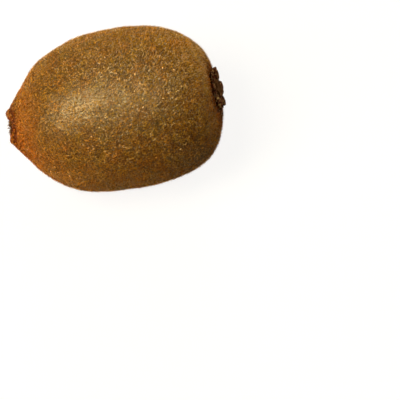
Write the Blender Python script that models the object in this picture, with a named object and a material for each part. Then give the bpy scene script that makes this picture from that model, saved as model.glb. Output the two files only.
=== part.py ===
"""A kiwi fruit lying on its side, as picked: the fruit, its stalk scar, dried sepals and withered styles.

Lengths are in millimetres until put_in_place() turns them into metres. The fruit is first shaped about
a straight axis, with +X towards the stalk, then leaned, tipped and lowered onto its flat spot.
"""
import math

import bmesh
import bpy
import numpy as np
from mathutils import Matrix, Vector

MM = 0.001
SHARP_EDGE = math.radians(35)

# The fruit, along its own axis. The belly is its thickest place.
BELLY_X = 3.7
BELLY_RADIUS = 24.95
HEIGHT_SHARE = 0.95
STALK_LENGTH = 27.55
STALK_BLUNT = 2.25
STALK_SHOULDER = 3.3
BEAK_LENGTH = 38.0
BEAK_BLUNT = 2.7
BEAK_TAPER = 0.69

# The stalk's seat is a shallow dish in the blunt end.
SEAT_DEPTH = 0.8
SEAT_RADIUS = 5.0

# The beak is a short knob with a waist behind it and a puckered crater in its face.
KNOB_X = -34.0
KNOB_SWELL = 1.5
KNOB_SWELL_LENGTH = 1.7
WAIST_X = -28.3
WAIST_DEPTH = 0.5
WAIST_LENGTH = 2.4
RIM_START_X = -33.1
RIM_RADIUS = 4.3
CRATER_DEPTH = 1.5
PUCKER_COUNT = 9
PUCKER_DEPTH = 0.28
PUCKER_WANDER = 1.3
PUCKER_SIDEWAYS = 0.5
PUCKER_REACH = 1.7
RIM_DIP = 0.6

# How the fruit grew a little crooked: one side shorter, both end faces leaned, the seat and the beak's flank
# off to one side, and low swellings as (height, waves round, drift along, start). Turns are about X, from
# +Y to +Z.
SHORT_SIDE_TURN = math.radians(24)
SHORT_SIDE_LENGTH = 550.0
BEAK_FACE_TURN = math.radians(113.5)
BEAK_FACE_LEAN = 0.15
STALK_FACE_LEAN = 0.27
SEAT_SHIFT = 1.3
LEAN_FROM = 24.0
LEAN_LENGTH = 8.0
CROOK_X = -26.0
CROOK_LENGTH = 7.0
CROOK_OFFSET = 0.7
SWELLINGS = ((0.22, 2, 0.07, 1.0), (0.15, 3, -0.09, 2.1), (0.09, 5, 0.14, 0.4))

# How it lies: tipped until its weight is over the flat spot, which is this far up from its lowest point.
TIP_TURN = math.radians(2.6)
FOOT_CUT = 0.36

# The grid of the fruit's faces.
ROWS = 46
COLUMNS = 64
END_CROWDING = 0.115

# The room that each of the other pieces keeps from the fruit.
GAP = 0.3

# The stalk's scar, a corky stub in the seat.
STUB_RADIUS = 2.6
STUB_HEIGHT = 1.7
STUB_HOLLOW = 0.45
STUB_LIP = 2.0
STUB_CORE = 1.25
STUB_EDGE = 0.25
STUB_FRAYS = ((0.12, 5, 0.7), (0.08, 8, 0.0))
STUB_SIDES = 24

# The sepals, six dried lobes on one collar round the stub.
SEPAL_COUNT = 6
COLLAR_INNER = 3.05
COLLAR_OUTER = 4.5
COLLAR_THICKNESS = 1.1
SEPAL_START = math.radians(24)
SEPAL_REACH = (6.5, 7.3)
SEPAL_SWELL = (0.35, 0.75)
SEPAL_CURL = 0.35
SEPAL_TWIST = 0.5
SEPAL_THICKNESS = 0.65
SEPAL_TIP_POWER = 2.2
SEPAL_TIP_ROUND = 0.6
SEPAL_NOTCH = 0.02
SEPAL_COLUMNS = 84
SEPAL_STEPS = 5
SEPAL_SEED = 11

# The withered styles, a tuft of stiff bristles on a button in the crater.
BUTTON_RADIUS = 1.9
BUTTON_HEIGHT = 0.75
BUTTON_RADII = np.array([0.35, 0.7, 1.0, 0.9, 0.45])
BUTTON_RISES = np.array([0.0, 0.0, 0.3, 0.75, 1.0])
BUTTON_SIDES = 16
STYLE_COUNT = 7
STYLE_LENGTH = (1.1, 1.6)
STYLE_THICKNESS = 0.7
STYLE_TAPER = np.array([1.1, 1.0, 0.86])
STYLE_STEPS = np.array([0.0, 0.7, 1.0])
STYLE_SPLAY = math.radians(34)
STYLE_SPLAY_SHARE = (0.5, 1.2)
STYLE_WANDER = 0.25
STYLE_RING = 1.1
STYLE_ROOT = 0.6
STYLE_SIDES = 5
STYLE_SEED = 4


def clear_scene():
    for thing in list(bpy.data.objects):
        bpy.data.objects.remove(thing, do_unlink=True)


def finish(name, colour, roughness):
    """A plain dielectric finish for one piece."""
    material = bpy.data.materials.new(name)
    material.use_nodes = True
    shader = material.node_tree.nodes["Principled BSDF"]
    shader.inputs["Base Color"].default_value = (*colour, 1.0)
    shader.inputs["Roughness"].default_value = roughness
    shader.inputs["Metallic"].default_value = 0.0
    return material


def stalk_face(radius):
    """Place along the axis of the blunt end's skin at a radius: a superellipse with the seat's dish taken off."""
    reach = STALK_LENGTH * (1 - (radius / BELLY_RADIUS) ** STALK_SHOULDER) ** (1 / STALK_BLUNT)
    return BELLY_X + reach - SEAT_DEPTH * np.exp(-((radius / SEAT_RADIUS) ** 2))


def beak_flank(along):
    """Radius of the tapering flank: a power curve, drawn in at the waist and swollen at the knob."""
    share = (BELLY_X - along) / BEAK_LENGTH
    plain = BELLY_RADIUS * (1 - share**BEAK_BLUNT) ** BEAK_TAPER
    waist = WAIST_DEPTH * np.exp(-(((along - WAIST_X) / WAIST_LENGTH) ** 2))
    knob = KNOB_SWELL * np.exp(-(((along - KNOB_X) / KNOB_SWELL_LENGTH) ** 2))
    return plain - waist + knob


def crater_face(radius):
    """Place along the axis of the crater's skin: half a cosine wave, deepest on the axis."""
    return KNOB_X + CRATER_DEPTH * (1 + np.cos(math.pi * radius / RIM_RADIUS)) / 2


def outline():
    """The fruit's outline from the middle of the seat to the middle of the crater, as places and radii."""
    shoulder = np.linspace(0, math.pi / 2, 200)
    stalk_radius = BELLY_RADIUS * np.sin(shoulder) ** (2 / STALK_SHOULDER)
    flank_x = np.linspace(BELLY_X, RIM_START_X, 200)[1:]
    flank_radius = beak_flank(flank_x)
    bend = np.linspace(0, math.pi / 2, 12)[1:]
    rim_x = RIM_START_X + (KNOB_X - RIM_START_X) * np.sin(bend)
    rim_radius = RIM_RADIUS + (flank_radius[-1] - RIM_RADIUS) * np.cos(bend)
    crater_radius = np.linspace(RIM_RADIUS, 0, 60)[1:]
    along = np.concatenate([stalk_face(stalk_radius), flank_x, rim_x, crater_face(crater_radius)])
    radius = np.concatenate([stalk_radius, flank_radius, rim_radius, crater_radius])
    return along, radius


def crowded_rows(count):
    """The outline read at rows that stand closer together towards both ends."""
    along, radius = outline()
    walked = np.concatenate([[0], np.cumsum(np.hypot(np.diff(along), np.diff(radius)))])
    step = np.linspace(0, 1, count)
    share = step - END_CROWDING * np.sin(2 * math.pi * step)
    return np.interp(share * walked[-1], walked, along), np.interp(share * walked[-1], walked, radius)


def puckered(along, radius, turn):
    """The beak's rim folded into puckers and dipped on two sides, and the low swellings of the whole skin."""
    from_rim = np.hypot(along - KNOB_X, radius - RIM_RADIUS)
    near_rim = np.exp(-((from_rim / PUCKER_REACH) ** 2)) * np.clip(radius / RIM_RADIUS, 0, 1)
    folds = PUCKER_DEPTH * np.cos(PUCKER_COUNT * turn + PUCKER_WANDER * np.sin(2 * turn))
    dips = RIM_DIP * (1 + np.cos(2 * (turn - BEAK_FACE_TURN)))
    low = sum(
        height * np.sin(waves * turn + drift * along + start) for height, waves, drift, start in SWELLINGS
    )
    lifted = radius + low * radius / BELLY_RADIUS + PUCKER_SIDEWAYS * folds * near_rim
    return along + (folds + dips) * near_rim, lifted


def put_in_place(along, radius, turn):
    """Points of the straight fruit, leaned, tipped and lowered, as an array of metres."""
    across = radius * np.cos(turn)
    up = radius * np.sin(turn) * HEIGHT_SHARE
    short_side = across * math.cos(SHORT_SIDE_TURN) + up * math.sin(SHORT_SIDE_TURN)
    face_side = across * math.cos(BEAK_FACE_TURN) + up * math.sin(BEAK_FACE_TURN)
    near_beak = np.clip((-along - LEAN_FROM) / LEAN_LENGTH, 0, 1)
    near_stalk = np.clip((along - LEAN_FROM) / LEAN_LENGTH, 0, 1)
    lean = BEAK_FACE_LEAN * near_beak**2 - STALK_FACE_LEAN * near_stalk**2
    leaned = along * (1 - short_side / SHORT_SIDE_LENGTH) + lean * face_side
    crook = CROOK_OFFSET * np.exp(-(((along - CROOK_X) / CROOK_LENGTH) ** 2)) + SEAT_SHIFT * near_stalk**2
    across = across + crook * math.cos(SHORT_SIDE_TURN)
    up = up + crook * math.sin(SHORT_SIDE_TURN)
    x = leaned * math.cos(TIP_TURN) - up * math.sin(TIP_TURN)
    z = leaned * math.sin(TIP_TURN) + up * math.cos(TIP_TURN)
    return np.stack([x, across, z], axis=-1) * MM


def closed_rings(rings, first_pole, last_pole):
    """A closed surface from rings of points, each end drawn together at a pole. The rings run towards -X."""
    count, sides = rings.shape[:2]
    points = np.concatenate([rings.reshape(-1, 3), [first_pole, last_pole]])
    faces = []
    for row in range(count - 1):
        for side in range(sides):
            after = (side + 1) % sides
            faces.append(
                (row * sides + side, row * sides + after, (row + 1) * sides + after, (row + 1) * sides + side)
            )
    first, last, end = count * sides, count * sides + 1, (count - 1) * sides
    for side in range(sides):
        after = (side + 1) % sides
        faces.append((first, after, side))
        faces.append((last, end + side, end + after))
    return points, faces


def make_object(name, points, faces, material):
    mesh = bpy.data.meshes.new(name)
    mesh.from_pydata([tuple(point) for point in points], [], faces)
    mesh.materials.append(material)
    piece = bpy.data.objects.new(name, mesh)
    bpy.context.scene.collection.objects.link(piece)
    tidy_mesh(piece)
    return piece


def tidy_mesh(piece):
    """Faces pointing out, and smooth shading."""
    work = bmesh.new()
    work.from_mesh(piece.data)
    bmesh.ops.recalc_face_normals(work, faces=work.faces)
    work.to_mesh(piece.data)
    work.free()
    piece.data.shade_smooth()


def make_fruit():
    along, radius = crowded_rows(ROWS)
    turn = np.linspace(0, 2 * math.pi, COLUMNS, endpoint=False)
    along_grid, turn_grid = np.meshgrid(along, turn, indexing="ij")
    radius_grid = np.repeat(radius[:, None], COLUMNS, axis=1)
    along_grid, radius_grid = puckered(along_grid, radius_grid, turn_grid)
    rings = put_in_place(along_grid[1:-1], radius_grid[1:-1], turn_grid[1:-1])
    poles = put_in_place(along[[0, -1]], np.zeros(2), np.zeros(2))
    points, faces = closed_rings(rings, poles[0], poles[1])
    fruit = make_object("fruit", points, faces, finish("skin", (0.26, 0.13, 0.03), 0.7))
    foot = min(point[2] for point in points) + FOOT_CUT * MM
    work = bmesh.new()
    work.from_mesh(fruit.data)
    everything = work.verts[:] + work.edges[:] + work.faces[:]
    cut = bmesh.ops.bisect_plane(
        work, geom=everything, dist=1e-7, plane_co=(0, 0, foot), plane_no=(0, 0, 1), clear_inner=True
    )
    edge = [thing for thing in cut["geom_cut"] if isinstance(thing, bmesh.types.BMEdge)]
    bmesh.ops.contextual_create(work, geom=edge)
    work.to_mesh(fruit.data)
    work.free()
    tidy_mesh(fruit)
    fruit.data.set_sharp_from_angle(angle=SHARP_EDGE)
    return fruit


def make_stub():
    """A squat corky stub: a turned profile with a hollow top, its bottom following the seat."""
    turn = np.linspace(0, 2 * math.pi, STUB_SIDES, endpoint=False)
    reach = np.array([STUB_CORE, STUB_LIP, STUB_RADIUS, STUB_RADIUS, STUB_RADIUS - STUB_EDGE, STUB_CORE])
    floor = stalk_face(reach) + GAP
    bottom = stalk_face(0.0) + GAP
    top = bottom + STUB_HEIGHT
    place = np.array([top - STUB_HOLLOW / 2, top, top - STUB_EDGE, floor[3] + STUB_EDGE, floor[4], floor[5]])
    frayed = sum(depth * np.sin(count * turn + start) for depth, count, start in STUB_FRAYS)
    on_top = np.array([1, 1, 1, 0, 0, 0])
    along = place[:, None] + on_top[:, None] * frayed
    rings = put_in_place(along, reach[:, None] + 0 * turn, turn + 0 * along)
    poles = put_in_place(np.array([top - STUB_HOLLOW, bottom]), np.zeros(2), np.zeros(2))
    points, faces = closed_rings(rings, poles[0], poles[1])
    return make_object("stalk_stub", points, faces, finish("stalk", (0.10, 0.055, 0.025), 0.9))


def make_sepals():
    """Six thick lobes on a collar, one closed band: over the top, round the tips, back underneath.

    A lobe swells between its collar and its tip, is twisted to one side, and its tip curls off the skin.
    """
    draw = np.random.default_rng(SEPAL_SEED)
    tips = draw.uniform(*SEPAL_REACH, SEPAL_COUNT)
    swells = draw.uniform(*SEPAL_SWELL, SEPAL_COUNT)
    lobe = np.linspace(0, SEPAL_COUNT, SEPAL_COLUMNS, endpoint=False)
    turn = SEPAL_START + 2 * math.pi * lobe / SEPAL_COUNT
    which = lobe.astype(int)
    beside = lobe - which
    across = np.abs(2 * np.clip(beside, SEPAL_NOTCH, 1 - SEPAL_NOTCH) - 1)
    breadth = (1 - across**SEPAL_TIP_POWER) ** SEPAL_TIP_ROUND
    reach = COLLAR_OUTER + (tips[which] - COLLAR_OUTER) * breadth
    step = np.linspace(0, 1, SEPAL_STEPS)[:, None]
    radius = COLLAR_INNER + (reach - COLLAR_INNER) * step
    underside = stalk_face(radius) + GAP + SEPAL_CURL * breadth * step**3
    thickness = COLLAR_THICKNESS + (SEPAL_THICKNESS - COLLAR_THICKNESS) * step
    swell = swells[which] * breadth * np.sin(math.pi * step)
    twist = SEPAL_TWIST * (beside - 0.5) * breadth * np.sin(math.pi * step / 2)
    topside = underside + thickness + swell + twist
    rings_along = np.concatenate([topside, underside[::-1]])
    rings_radius = np.concatenate([radius, radius[::-1]])
    turns = np.repeat(turn[None, :], 2 * SEPAL_STEPS, axis=0)
    rings = put_in_place(rings_along, rings_radius, turns)
    count = len(rings)
    points = rings.reshape(-1, 3)
    faces = []
    for row in range(count):
        below = (row + 1) % count
        for side in range(SEPAL_COLUMNS):
            after = (side + 1) % SEPAL_COLUMNS
            faces.append(
                (
                    row * SEPAL_COLUMNS + side,
                    row * SEPAL_COLUMNS + after,
                    below * SEPAL_COLUMNS + after,
                    below * SEPAL_COLUMNS + side,
                )
            )
    return make_object("sepals", points, faces, finish("sepal", (0.04, 0.022, 0.012), 0.75))


def bristle(name, root_turn, splay, length, material):
    """One stiff style: a tapered rod that leans out from the axis, its root sunk in the button."""
    turn = np.linspace(0, 2 * math.pi, STYLE_SIDES, endpoint=False)
    step = STYLE_STEPS[:, None]
    thick = STYLE_THICKNESS / 2 * STYLE_TAPER[:, None]
    out = STYLE_RING + length * step * math.sin(splay)
    root = crater_face(0.0) - STYLE_ROOT
    across = out * math.cos(root_turn) + thick * np.cos(turn)
    up = out * math.sin(root_turn) + thick * np.sin(turn)
    along = root - length * step * math.cos(splay) + 0 * turn
    rings = put_in_place(along, np.hypot(across, up), np.arctan2(up, across))
    points, faces = closed_rings(rings, rings[0].mean(axis=0), rings[-1].mean(axis=0))
    return make_object(name, points, faces, material)


def join_repeats(piece, repeats):
    """The repeats fused to the piece by one union, and their own objects removed."""
    bunch = bpy.data.collections.new("repeats")
    bpy.context.scene.collection.children.link(bunch)
    for repeat in repeats:
        bunch.objects.link(repeat)
    union = piece.modifiers.new("union", "BOOLEAN")
    union.operation = "UNION"
    union.operand_type = "COLLECTION"
    union.collection = bunch
    joined = bpy.data.meshes.new_from_object(piece.evaluated_get(bpy.context.evaluated_depsgraph_get()))
    piece.modifiers.clear()
    piece.data = joined
    for repeat in repeats:
        bpy.data.objects.remove(repeat, do_unlink=True)
    bpy.data.collections.remove(bunch)


def make_styles():
    """The button, with the bristles joined to it."""
    draw = np.random.default_rng(STYLE_SEED)
    material = finish("styles", (0.05, 0.025, 0.012), 0.85)
    turn = np.linspace(0, 2 * math.pi, BUTTON_SIDES, endpoint=False)
    radius = BUTTON_RADIUS * BUTTON_RADII[:, None] + 0 * turn
    proud = BUTTON_HEIGHT * BUTTON_RISES[:, None]
    rings = put_in_place(crater_face(radius) - GAP - proud, radius, turn + 0 * radius)
    floor = crater_face(0.0) - GAP
    poles = put_in_place(np.array([floor, floor - BUTTON_HEIGHT]), np.zeros(2), np.zeros(2))
    points, faces = closed_rings(rings, poles[0], poles[1])
    styles = make_object("styles", points, faces, material)
    bristles = []
    for number in range(STYLE_COUNT):
        root_turn = 2 * math.pi * (number + draw.uniform(-STYLE_WANDER, STYLE_WANDER)) / STYLE_COUNT
        splay = STYLE_SPLAY * draw.uniform(*STYLE_SPLAY_SHARE)
        bristles.append(bristle(f"style_{number}", root_turn, splay, draw.uniform(*STYLE_LENGTH), material))
    join_repeats(styles, bristles)
    tidy_mesh(styles)
    styles.data.set_sharp_from_angle(angle=SHARP_EDGE)
    return styles


def stand_on_ground(pieces):
    """The origin put under the middle of the whole, on the ground that the flat spot rests on."""
    corners = np.array([vertex.co for piece in pieces for vertex in piece.data.vertices])
    low, high = corners.min(axis=0), corners.max(axis=0)
    shift = Vector((-(low[0] + high[0]) / 2, -(low[1] + high[1]) / 2, -low[2]))
    for piece in pieces:
        piece.data.transform(Matrix.Translation(shift))


clear_scene()
stand_on_ground([make_fruit(), make_stub(), make_sepals(), make_styles()])
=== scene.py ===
"""Looks of a whole kiwi fruit on its side, with its beak to the left and its stalk scar to the right.

Shapes are worked out in millimetres and written to the meshes in metres.
"""
import math

import bpy
import numpy as np
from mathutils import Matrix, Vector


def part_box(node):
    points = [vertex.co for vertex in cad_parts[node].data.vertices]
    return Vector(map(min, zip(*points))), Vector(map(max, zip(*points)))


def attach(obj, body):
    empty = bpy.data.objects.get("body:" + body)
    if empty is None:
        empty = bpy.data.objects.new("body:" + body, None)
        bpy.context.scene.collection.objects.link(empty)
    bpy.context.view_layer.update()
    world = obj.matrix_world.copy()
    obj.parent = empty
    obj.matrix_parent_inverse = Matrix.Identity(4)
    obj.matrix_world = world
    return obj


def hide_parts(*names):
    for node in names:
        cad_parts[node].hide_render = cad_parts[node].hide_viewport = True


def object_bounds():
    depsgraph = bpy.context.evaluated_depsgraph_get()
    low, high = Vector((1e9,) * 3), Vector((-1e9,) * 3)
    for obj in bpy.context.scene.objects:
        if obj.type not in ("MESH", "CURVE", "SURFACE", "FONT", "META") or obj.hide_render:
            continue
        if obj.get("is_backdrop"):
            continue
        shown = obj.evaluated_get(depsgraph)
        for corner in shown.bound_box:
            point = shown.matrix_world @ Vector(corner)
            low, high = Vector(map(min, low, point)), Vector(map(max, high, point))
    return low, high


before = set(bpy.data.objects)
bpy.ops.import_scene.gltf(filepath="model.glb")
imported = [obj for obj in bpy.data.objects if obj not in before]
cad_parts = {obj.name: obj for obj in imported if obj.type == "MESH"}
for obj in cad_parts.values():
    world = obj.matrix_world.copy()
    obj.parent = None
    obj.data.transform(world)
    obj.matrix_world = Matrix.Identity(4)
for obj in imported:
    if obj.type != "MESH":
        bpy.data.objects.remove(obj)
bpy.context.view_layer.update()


# The fruit is one grown body under a thin leathery brown skin. It tapers to a short puckered beak with a
# crater in it, and its blunt end has a shallow seat where the stalk was. It rests on a spot pressed flat.
MM = 0.001
BELLY_X = 3.7
BELLY_RADIUS = 24.95
HEIGHT_SHARE = 0.95
STALK_LENGTH = 27.55
STALK_BLUNT = 2.25
STALK_SHOULDER = 3.3
BEAK_LENGTH = 38.0
BEAK_BLUNT = 2.7
BEAK_TAPER = 0.69
SEAT_DEPTH = 0.8
SEAT_RADIUS = 5.0
KNOB_X = -34.0
KNOB_SWELL = 1.5
KNOB_SWELL_LENGTH = 1.7
WAIST_X = -28.3
WAIST_DEPTH = 0.5
WAIST_LENGTH = 2.4
RIM_START_X = -33.1
RIM_RADIUS = 4.3
CRATER_DEPTH = 1.5
PUCKER_COUNT = 9
PUCKER_DEPTH = 0.28
PUCKER_WANDER = 1.3
PUCKER_SIDEWAYS = 0.5
PUCKER_REACH = 1.7
RIM_DIP = 0.6
PLEAT_COUNT = 29
PLEAT_DEPTH = 0.09
PLEAT_WANDER = 2
PLEAT_DRIFT = 0.4
PLEAT_REACH = 3.6
SHORT_SIDE_TURN = math.radians(24)
SHORT_SIDE_LENGTH = 550.0
BEAK_FACE_TURN = math.radians(113.5)
BEAK_FACE_LEAN = 0.15
STALK_FACE_LEAN = 0.27
SEAT_SHIFT = 1.3
LEAN_FROM = 24.0
LEAN_LENGTH = 8.0
CROOK_X = -26.0
CROOK_LENGTH = 7.0
CROOK_OFFSET = 0.7
SWELLINGS = ((0.22, 2, 0.07, 1.0), (0.15, 3, -0.09, 2.1), (0.09, 5, 0.14, 0.4))
TIP_TURN = math.radians(2.6)
FOOT_CUT = 0.36
FOOT_SOFTNESS = 0.1
OUTLINE_STEPS = 600
RIM_STEPS = 40
CRATER_STEPS = 150
SKIN_ROWS = 224
SKIN_COLUMNS = 440
SKIN_CROWDING = 0.07
RIPPLE_SPREAD = (0.75, 1.35)


def bell(distance, width):
    """A bell curve of the distance: 1 in the middle, and 1 over e at the width."""
    return np.exp(-((distance / width) ** 2))


def stalk_face(radius):
    """Place along the axis of the blunt end's skin at a radius: a superellipse less the seat's dish."""
    reach = STALK_LENGTH * (1 - (radius / BELLY_RADIUS) ** STALK_SHOULDER) ** (1 / STALK_BLUNT)
    return BELLY_X + reach - SEAT_DEPTH * bell(radius, SEAT_RADIUS)


def beak_flank(along):
    """Radius of the tapering flank: a power curve, drawn in at the waist and swollen at the knob."""
    share = (BELLY_X - along) / BEAK_LENGTH
    plain = BELLY_RADIUS * (1 - share**BEAK_BLUNT) ** BEAK_TAPER
    waist = WAIST_DEPTH * bell(along - WAIST_X, WAIST_LENGTH)
    knob = KNOB_SWELL * bell(along - KNOB_X, KNOB_SWELL_LENGTH)
    return plain - waist + knob


def crater_face(radius):
    """Place along the axis of the crater's skin: half a cosine wave, deepest on the axis."""
    return KNOB_X + CRATER_DEPTH * (1 + np.cos(math.pi * radius / RIM_RADIUS)) / 2


def skin_rows(count):
    """Places and radii from the seat's middle to the crater's, at even steps along the outline that crowd at
    both ends. The outline is the superellipse by its angle, the flank by its place, a quarter ellipse for the
    rim, then the crater."""
    shoulder = np.linspace(0, math.pi / 2, OUTLINE_STEPS)
    stalk_radius = BELLY_RADIUS * np.sin(shoulder) ** (2 / STALK_SHOULDER)
    flank_x = np.linspace(BELLY_X, RIM_START_X, OUTLINE_STEPS)[1:]
    flank_radius = beak_flank(flank_x)
    bend = np.linspace(0, math.pi / 2, RIM_STEPS)[1:]
    rim_x = RIM_START_X + (KNOB_X - RIM_START_X) * np.sin(bend)
    rim_radius = RIM_RADIUS + (flank_radius[-1] - RIM_RADIUS) * np.cos(bend)
    crater_radius = np.linspace(RIM_RADIUS, 0, CRATER_STEPS)[1:]
    along = np.concatenate([stalk_face(stalk_radius), flank_x, rim_x, crater_face(crater_radius)])
    radius = np.concatenate([stalk_radius, flank_radius, rim_radius, crater_radius])
    walked = np.concatenate([[0], np.cumsum(np.hypot(np.diff(along), np.diff(radius)))])
    step = np.linspace(0, 1, count)
    share = (step - SKIN_CROWDING * np.sin(2 * math.pi * step)) * walked[-1]
    return np.interp(share, walked, along), np.interp(share, walked, radius)


def puckered(along, radius, turn):
    """The beak's rim folded by cosine waves that fade away from it, and low swellings of the whole skin."""
    from_rim = np.hypot(along - KNOB_X, radius - RIM_RADIUS)
    near_rim = bell(from_rim, PUCKER_REACH) * np.clip(radius / RIM_RADIUS, 0, 1)
    folds = PUCKER_DEPTH * np.cos(PUCKER_COUNT * turn + PUCKER_WANDER * np.sin(2 * turn))
    dips = RIM_DIP * (1 + np.cos(2 * (turn - BEAK_FACE_TURN)))
    pleats = PLEAT_DEPTH * np.cos(PLEAT_COUNT * turn + PLEAT_WANDER * np.sin(3 * turn) + PLEAT_DRIFT * along)
    pleats = pleats * bell(from_rim, PLEAT_REACH) * np.clip(radius / RIM_RADIUS, 0, 1)
    low = sum(
        height * np.sin(waves * turn + drift * along + start) for height, waves, drift, start in SWELLINGS
    )
    lifted = radius + low * radius / BELLY_RADIUS + PUCKER_SIDEWAYS * folds * near_rim + pleats
    return along + (folds + dips) * near_rim, lifted


def laid_down(along, radius, turn):
    """Points of the straight fruit leaned at both ends, shifted sideways near them and tipped about Y."""
    across = radius * np.cos(turn)
    up = radius * np.sin(turn) * HEIGHT_SHARE
    short_side = across * math.cos(SHORT_SIDE_TURN) + up * math.sin(SHORT_SIDE_TURN)
    face_side = across * math.cos(BEAK_FACE_TURN) + up * math.sin(BEAK_FACE_TURN)
    near_beak = np.clip((-along - LEAN_FROM) / LEAN_LENGTH, 0, 1)
    near_stalk = np.clip((along - LEAN_FROM) / LEAN_LENGTH, 0, 1)
    lean = BEAK_FACE_LEAN * near_beak**2 - STALK_FACE_LEAN * near_stalk**2
    leaned = along * (1 - short_side / SHORT_SIDE_LENGTH) + lean * face_side
    crook = CROOK_OFFSET * bell(along - CROOK_X, CROOK_LENGTH) + SEAT_SHIFT * near_stalk**2
    across = across + crook * math.cos(SHORT_SIDE_TURN)
    up = up + crook * math.sin(SHORT_SIDE_TURN)
    x = leaned * math.cos(TIP_TURN) - up * math.sin(TIP_TURN)
    z = leaned * math.sin(TIP_TURN) + up * math.cos(TIP_TURN)
    return np.stack([x, across, z], axis=-1)


def ripple(places, length, seed, count=26):
    """A smooth random height of about 1: sine waves of about one length, in random directions, added up."""
    draw = np.random.default_rng(seed)
    towards = draw.normal(size=(count, 3))
    towards /= np.linalg.norm(towards, axis=1)[:, None]
    pitch = 2 * math.pi / (length * draw.uniform(*RIPPLE_SPREAD, count))
    start = draw.uniform(0, 2 * math.pi, count)
    total = np.zeros(places.shape[:-1])
    for number in range(count):
        total += np.sin(places @ towards[number] * pitch[number] + start[number])
    return total * math.sqrt(2 / count)


def grid_normals(grid):
    """Unit normals of a grid whose columns close on themselves: the cross product of its two directions."""
    down = np.gradient(grid, axis=0)
    round_it = np.roll(grid, -1, axis=1) - np.roll(grid, 1, axis=1)
    normal = np.cross(down, round_it)
    return normal / np.maximum(np.linalg.norm(normal, axis=-1), 1e-12)[..., None]


def make_piece(name, points, quads, triangles, uv=None, marks=None):
    """A mesh object at the origin from whole arrays: points in millimetres, then the corners of its faces.
    uv holds one pair for each corner, quads first, and marks holds a value for each point under a name."""
    corners = np.concatenate([quads.ravel(), triangles.ravel()]).astype(np.int32)
    sizes = np.concatenate([np.full(len(quads), 4), np.full(len(triangles), 3)])
    mesh = bpy.data.meshes.new(name)
    mesh.vertices.add(len(points))
    mesh.vertices.foreach_set("co", (points * MM).astype(np.float32).ravel())
    mesh.loops.add(len(corners))
    mesh.loops.foreach_set("vertex_index", corners)
    mesh.polygons.add(len(sizes))
    mesh.polygons.foreach_set("loop_start", (np.cumsum(sizes) - sizes).astype(np.int32))
    mesh.update(calc_edges=True)
    if uv is not None:
        mesh.uv_layers.new(name="OFBake").uv.foreach_set("vector", uv.astype(np.float32).ravel())
    for mark, values in (marks or {}).items():
        layer = mesh.attributes.new(name=mark, type="FLOAT", domain="POINT")
        layer.data.foreach_set("value", values.astype(np.float32).ravel())
    mesh.shade_smooth()
    piece = bpy.data.objects.new(name, mesh)
    bpy.context.scene.collection.objects.link(piece)
    return piece


def closed_grid(rows, columns, poles=True):
    """Corners of a grid whose columns close on themselves. With poles, its ends are drawn together at two
    points that follow the grid's, and without, its last row joins its first. Rows run towards -X."""
    row = np.arange(rows - 1 if poles else rows)[:, None]
    column = np.arange(columns)[None, :]
    after = (column + 1) % columns
    here = row * columns
    below = (row + 1) % rows * columns
    quads = np.stack([here + column, below + column, below + after, here + after], axis=-1).reshape(-1, 4)
    if not poles:
        return quads, np.zeros((0, 3), int)
    side = np.arange(columns)
    next_side = (side + 1) % columns
    first = np.stack([np.full(columns, rows * columns), side, next_side], axis=-1)
    end = (rows - 1) * columns
    last = np.stack([np.full(columns, rows * columns + 1), end + next_side, end + side], axis=-1)
    return quads, np.concatenate([first, last])


def closed_grid_uv(rows, columns):
    """Places on a flat map for a grid with poles: once round across it, and from end to end up it."""
    row = (np.arange(rows - 1)[:, None] + 1) / (rows + 1) + 0 * np.arange(columns)
    column = np.arange(columns)[None, :] / columns + 0 * row
    wide, tall = 1 / columns, 1 / (rows + 1)
    corners = [column, row, column, row + tall, column + wide, row + tall, column + wide, row]
    quads = np.stack(corners, axis=-1)
    side = np.arange(columns) / columns
    zero, top = 0 * side, 0 * side + 1
    first = np.stack([side + wide / 2, zero, side, zero + tall, side + wide, zero + tall], axis=-1)
    last = np.stack([side + wide / 2, top, side + wide, top - tall, side, top - tall], axis=-1)
    return np.concatenate([quads.reshape(-1, 2), first.reshape(-1, 2), last.reshape(-1, 2)])


row_along, row_radius = skin_rows(SKIN_ROWS)
turns = np.linspace(0, 2 * math.pi, SKIN_COLUMNS, endpoint=False)
skin_along = np.repeat(row_along[:, None], SKIN_COLUMNS, axis=1)
skin_radius = np.repeat(row_radius[:, None], SKIN_COLUMNS, axis=1)
skin_turn = np.repeat(turns[None, :], SKIN_ROWS, axis=0)
plain = laid_down(*puckered(skin_along, skin_radius, skin_turn), skin_turn)
box_low, box_high = (np.array(corner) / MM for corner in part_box("fruit"))
lowered = (box_low + box_high - plain.min(axis=(0, 1)) - plain.max(axis=(0, 1))) / 2
lowered[2] = -plain[..., 2].min() - FOOT_CUT
plain = plain + lowered

DENT_HEIGHT = 0.09
LUMP_HEIGHT = 0.04
WRINKLE_HEIGHT = 0.035
WRINKLE_MIDDLE = 0.8
GRAIN_HEIGHT = 0.02
skin_normal = grid_normals(plain)
dents = DENT_HEIGHT * ripple(plain, length=16, seed=1)
lumps = LUMP_HEIGHT * ripple(plain, length=5, seed=2)
wrinkles = WRINKLE_HEIGHT * (WRINKLE_MIDDLE - np.abs(ripple(plain, length=2.1, seed=3)))
grain = GRAIN_HEIGHT * ripple(plain, length=1.1, seed=4)
skin_relief = dents + lumps + wrinkles + grain
skin = plain + skin_normal * (skin_relief * np.clip(skin_radius / RIM_RADIUS, 0, 1))[..., None]
skin[..., 2] = (skin[..., 2] + np.hypot(skin[..., 2], FOOT_SOFTNESS)) / 2
skin_poles = skin[[0, -1]].mean(axis=1)
skin_rings = skin[1:-1]

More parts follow.
